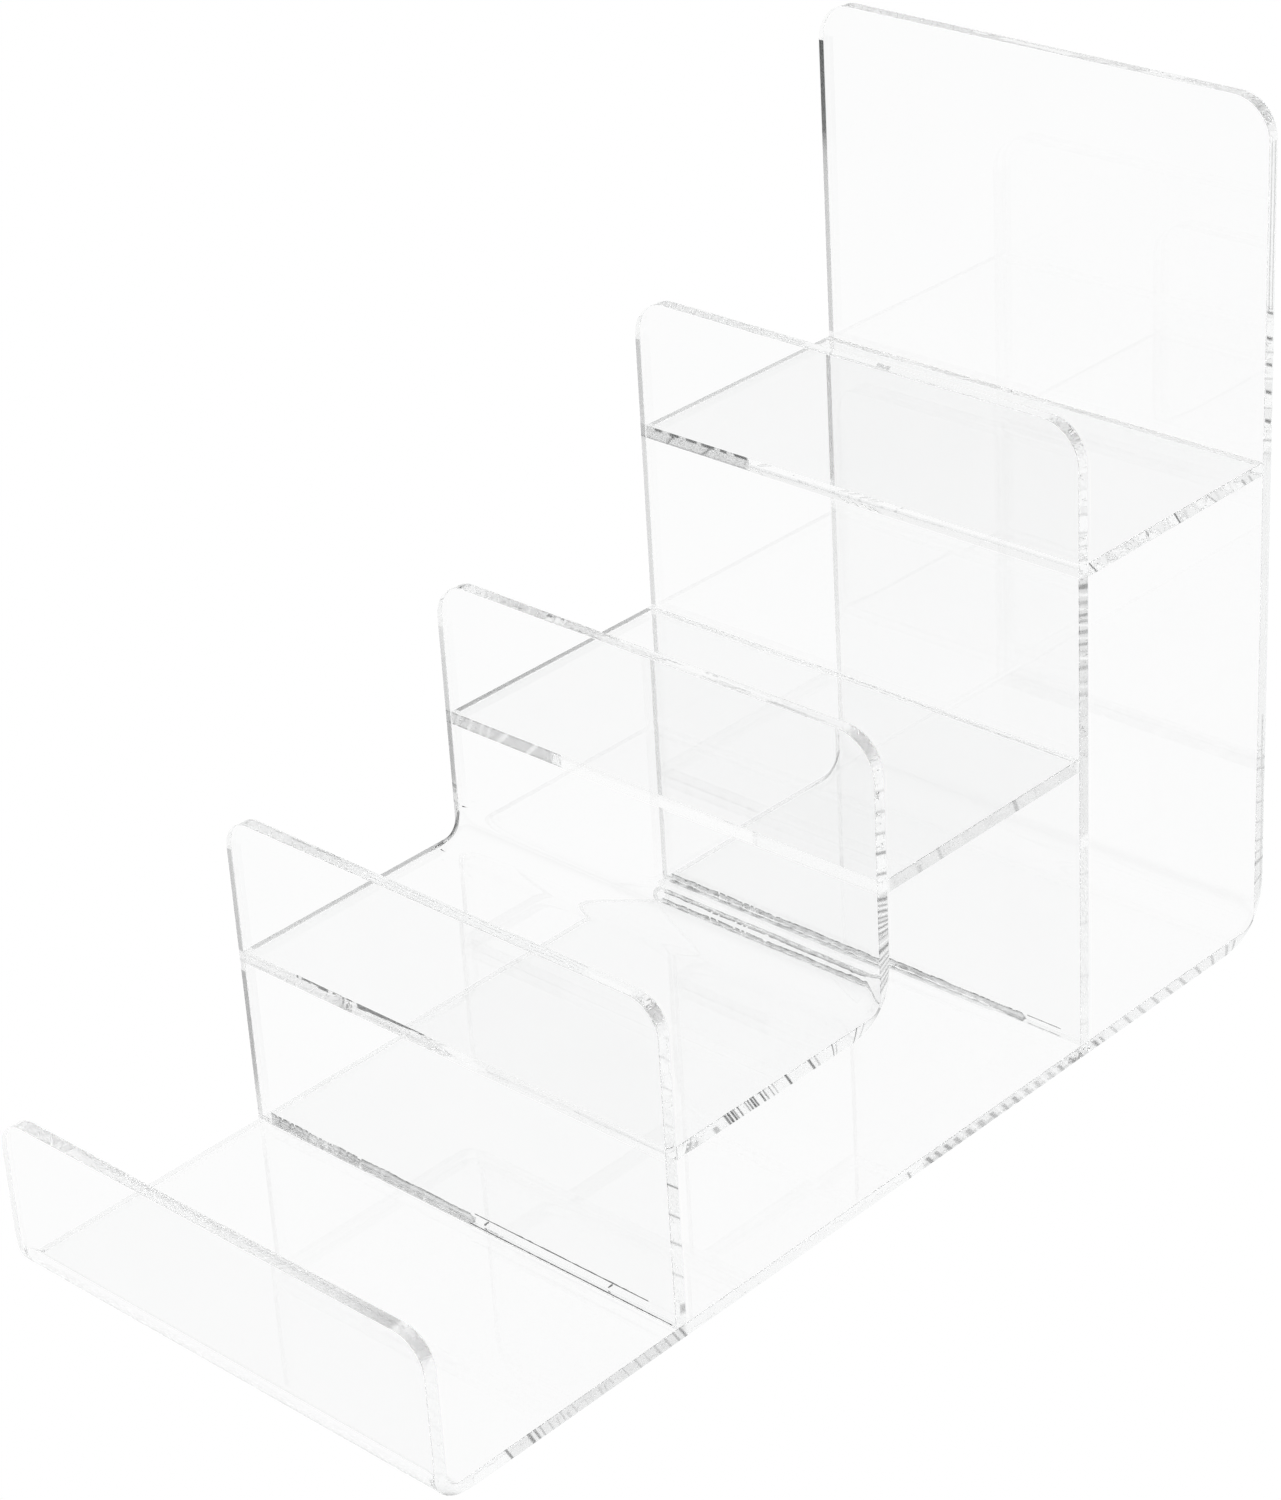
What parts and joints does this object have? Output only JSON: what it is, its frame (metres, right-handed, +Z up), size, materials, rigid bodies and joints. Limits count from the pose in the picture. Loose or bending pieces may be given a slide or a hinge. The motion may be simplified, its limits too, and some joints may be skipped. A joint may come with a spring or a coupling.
{
  "type": "acrylic display riser",
  "caption": "Clear acrylic tiered display riser: a lipped front tray and stepped shelves, each behind an upright retaining lip, in front of a tall back panel; free-standing on a counter.",
  "frame": {"origin": "on the floor, under the middle of the object's bounding box", "axes": "+Z up; +Y from the low front lip towards the tall back panel; +X to the right of a person who faces the lip"},
  "size_m": [0.12, 0.261, 0.196],
  "materials": {
    "clear_acrylic": "clear colourless cast acrylic, polished faces, machine-cut edges",
    "cured_cement": "clear cured solvent cement"
  },
  "bodies": {
    "root": {"base_back_sheet": "clear_acrylic", "front_riser": "clear_acrylic", "step_sheet": "clear_acrylic", "mid_shelf": "clear_acrylic", "tall_riser": "clear_acrylic", "top_shelf": "clear_acrylic", "seam_front_riser_base": "cured_cement", "seam_tall_riser_base": "cured_cement", "seam_step_front_riser": "cured_cement", "seam_mid_shelf_step": "cured_cement", "seam_mid_shelf_tall_riser": "cured_cement", "seam_top_shelf_tall_riser": "cured_cement", "seam_top_shelf_back": "cured_cement"}
  },
  "joints": []
}
